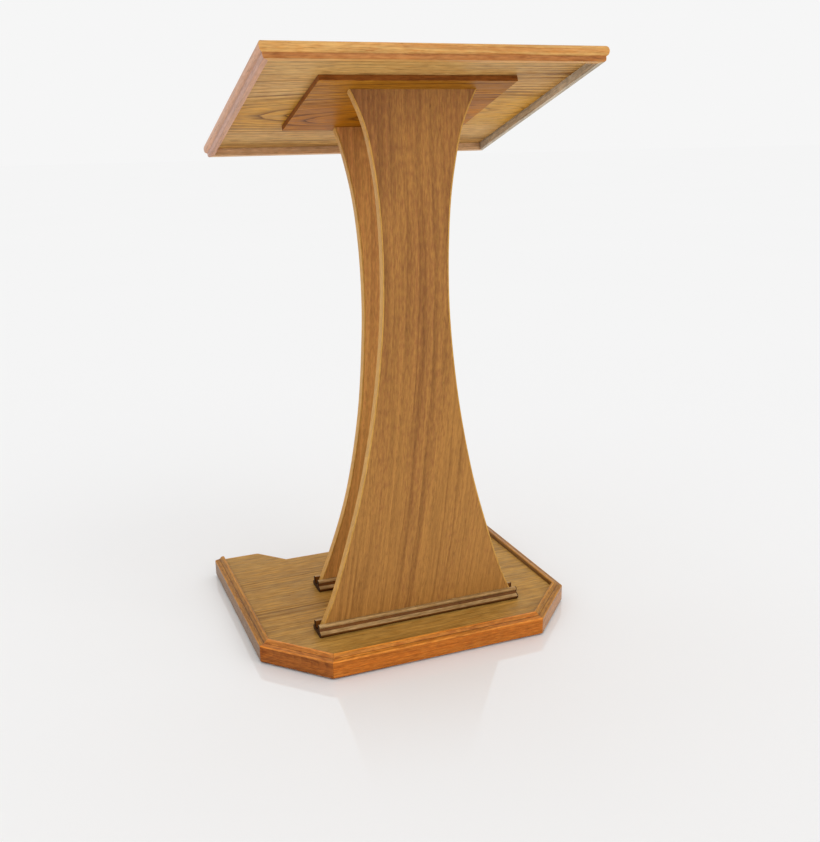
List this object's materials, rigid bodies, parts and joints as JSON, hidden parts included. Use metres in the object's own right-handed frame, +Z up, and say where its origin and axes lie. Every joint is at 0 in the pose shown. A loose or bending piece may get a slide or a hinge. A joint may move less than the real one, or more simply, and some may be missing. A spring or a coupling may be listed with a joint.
{
  "type": "presentation lectern",
  "caption": "Wooden presentation lectern: framed sloping desk on two hourglass panels that stand in moulded shoe rails on a framed base with a toe notch.",
  "frame": {"origin": "on the floor, under the middle of the whole lectern's outline", "axes": "+Z up, -Y towards the audience, +Y towards the speaker, +X to the right when looking from the audience towards the speaker"},
  "size_m": [0.69, 0.5916, 1.1609],
  "materials": {
    "base_veneer": "oak veneer, satin lacquer, grain across",
    "panel_veneer": "oak veneer, satin lacquer, grain upright",
    "desk_veneer": "oak veneer, satin lacquer, grain across",
    "base_oak": "solid oak moulding, warm stain, satin lacquer",
    "desk_oak": "solid oak moulding, satin lacquer",
    "shoe_oak": "solid oak moulding, darker, dark end grain",
    "lipping_oak": "solid oak strip, satin lacquer",
    "hidden_timber": "planed, unfinished",
    "nylon": "moulded",
    "zinc_steel": "zinc plated"
  },
  "bodies": {
    "root": {"base_board": "base_veneer", "base_moulding_front": "base_oak", "base_moulding_left_chamfer": "base_oak", "base_moulding_right_chamfer": "base_oak", "base_moulding_left": "base_oak", "base_moulding_right": "base_oak", "base_rear_lipping_right": "lipping_oak", "notch_lipping_right": "lipping_oak", "notch_lipping_middle": "lipping_oak", "notch_lipping_left": "lipping_oak", "base_rear_lipping_left": "lipping_oak", "front_panel_lipping_left": "lipping_oak", "front_panel_lipping_right": "lipping_oak", "rear_panel_lipping_left": "lipping_oak", "rear_panel_lipping_right": "lipping_oak", "glide_1": "nylon", "glide_2": "nylon", "glide_3": "nylon", "glide_4": "nylon", "glide_5": "nylon", "glide_6": "nylon", "front_panel": "panel_veneer", "rear_panel": "panel_veneer", "front_panel_rail_front": "shoe_oak", "front_panel_rail_rear": "shoe_oak", "rear_panel_rail_front": "shoe_oak", "rear_panel_rail_rear": "shoe_oak", "front_cleat": "hidden_timber", "rear_cleat": "hidden_timber", "desk_board": "desk_veneer", "mounting_plate": "desk_veneer", "desk_moulding_high": "desk_oak", "desk_moulding_low": "desk_oak", "desk_moulding_left": "desk_oak", "desk_moulding_right": "desk_oak", "paper_stop": "desk_oak", "front_panel_screw_1": "zinc_steel", "front_panel_screw_2": "zinc_steel", "front_panel_screw_3": "zinc_steel", "rear_panel_screw_1": "zinc_steel", "rear_panel_screw_2": "zinc_steel", "front_cleat_side_screw_1": "zinc_steel", "front_cleat_side_screw_2": "zinc_steel", "front_cleat_up_screw_1": "zinc_steel", "front_cleat_up_screw_2": "zinc_steel", "front_cleat_up_screw_3": "zinc_steel", "rear_cleat_side_screw_1": "zinc_steel", "rear_cleat_side_screw_2": "zinc_steel", "rear_cleat_up_screw_1": "zinc_steel", "rear_cleat_up_screw_2": "zinc_steel"}
  },
  "joints": []
}
